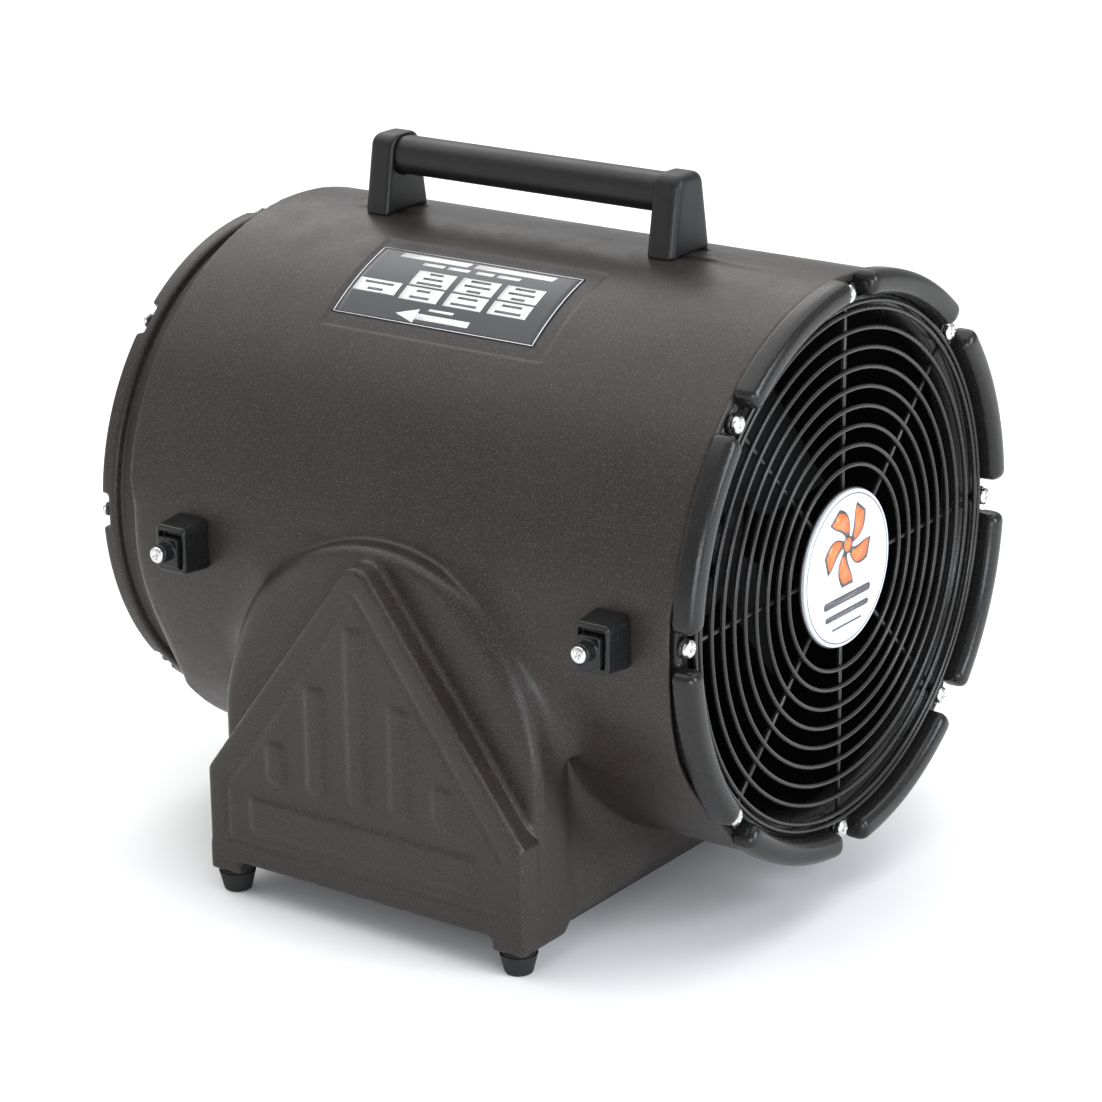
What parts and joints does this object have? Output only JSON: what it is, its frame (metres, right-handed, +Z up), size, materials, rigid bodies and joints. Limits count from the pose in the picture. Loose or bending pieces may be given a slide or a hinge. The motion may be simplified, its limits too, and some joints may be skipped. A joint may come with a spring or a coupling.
{
  "type": "axial air mover",
  "caption": "Barrel-shaped portable axial air mover with carry handle, pedestal on rubber feet, wire intake guard and a collar for a flexible duct.",
  "frame": {"origin": "on the floor under the middle of the machine's bounding box", "axes": "+X out of the intake guard along the fan axis, -X out of the duct collar, +Z up"},
  "size_m": [0.4366, 0.4038, 0.4178],
  "materials": {
    "shell_plastic": "satin rotational-moulded polyethylene with a fine speckle",
    "handle_plastic": "satin moulded",
    "hook_plastic": "semi-gloss moulded",
    "guard_wire": "black coated wire",
    "zinc_steel": "bright zinc plated",
    "badge_face": "printed white disc",
    "label_film": "printed polyester film",
    "foot_rubber": "matt",
    "plate_plastic": "flat sheet",
    "duct_sheet": "smooth black",
    "motor_paint": "dark grey enamel",
    "core_steel": "stacked laminations",
    "shaft_steel": "ground",
    "hub_aluminium": "die cast",
    "blade_plastic": "glass-filled moulding",
    "capacitor_can": "drawn can",
    "terminal_plastic": "moulded",
    "switch_plastic": "moulded nylon",
    "rocker_plastic": "moulded red"
  },
  "bodies": {
    "housing": {"arm_bolts": "zinc_steel", "bottom_plate": "plate_plastic", "bottom_plate_screws": "zinc_steel", "capacitor": "capacitor_can", "drive_end_bearing": "shaft_steel", "fan_duct": "duct_sheet", "foot_front_left": "foot_rubber", "foot_front_right": "foot_rubber", "foot_rear_left": "foot_rubber", "foot_rear_right": "foot_rubber", "foot_screws": "zinc_steel", "gland_body": "switch_plastic", "gland_nut": "switch_plastic", "handle_bolts": "zinc_steel", "handle_grip": "handle_plastic", "handle_post_front": "handle_plastic", "handle_post_rear": "handle_plastic", "hook_post_front_left": "hook_plastic", "hook_post_front_right": "hook_plastic", "hook_post_rear_left": "hook_plastic", "hook_post_rear_right": "hook_plastic", "hook_post_screws": "zinc_steel", "housing_shell": "shell_plastic", "hub_badge": "badge_face", "intake_guard": "guard_wire", "intake_guard_screws": "zinc_steel", "intake_rim": "shell_plastic", "motor_arm_1": "motor_paint", "motor_arm_2": "motor_paint", "motor_arm_3": "motor_paint", "motor_arm_4": "motor_paint", "motor_drive_cover": "motor_paint", "motor_frame": "motor_paint", "motor_rear_cover": "motor_paint", "outlet_collar": "shell_plastic", "outlet_guard": "guard_wire", "outlet_guard_screws": "zinc_steel", "panel_screws": "zinc_steel", "rear_bearing": "shaft_steel", "spec_label": "label_film", "stator_core": "core_steel", "switch_body": "switch_plastic", "switch_panel": "plate_plastic", "terminal_block": "terminal_plastic", "wiring_conduit": "zinc_steel"},
    "fan_rotor": {"motor_shaft": "shaft_steel", "rotor_core": "core_steel", "hub_rear_plate": "hub_aluminium", "hub_front_plate": "hub_aluminium", "hub_bolts": "zinc_steel", "shaft_nut": "zinc_steel", "fan_blade_1": "blade_plastic", "fan_blade_2": "blade_plastic", "fan_blade_3": "blade_plastic", "fan_blade_4": "blade_plastic", "fan_blade_5": "blade_plastic", "fan_blade_6": "blade_plastic", "fan_blade_7": "blade_plastic"},
    "rocker": {"switch_rocker": "rocker_plastic"}
  },
  "joints": [
    {"name": "impeller_spin", "type": "hinge", "parent": "housing", "child": "fan_rotor", "pos_m": [0.09, 0, 0.2024], "axis": [-1, 0, 0], "continuous": true},
    {"name": "switch_rock", "type": "hinge", "parent": "housing", "child": "rocker", "pos_m": [-0.109, 0.151, 0.049], "axis": [0, 1, 0], "range_deg": [0, 16]}
  ]
}
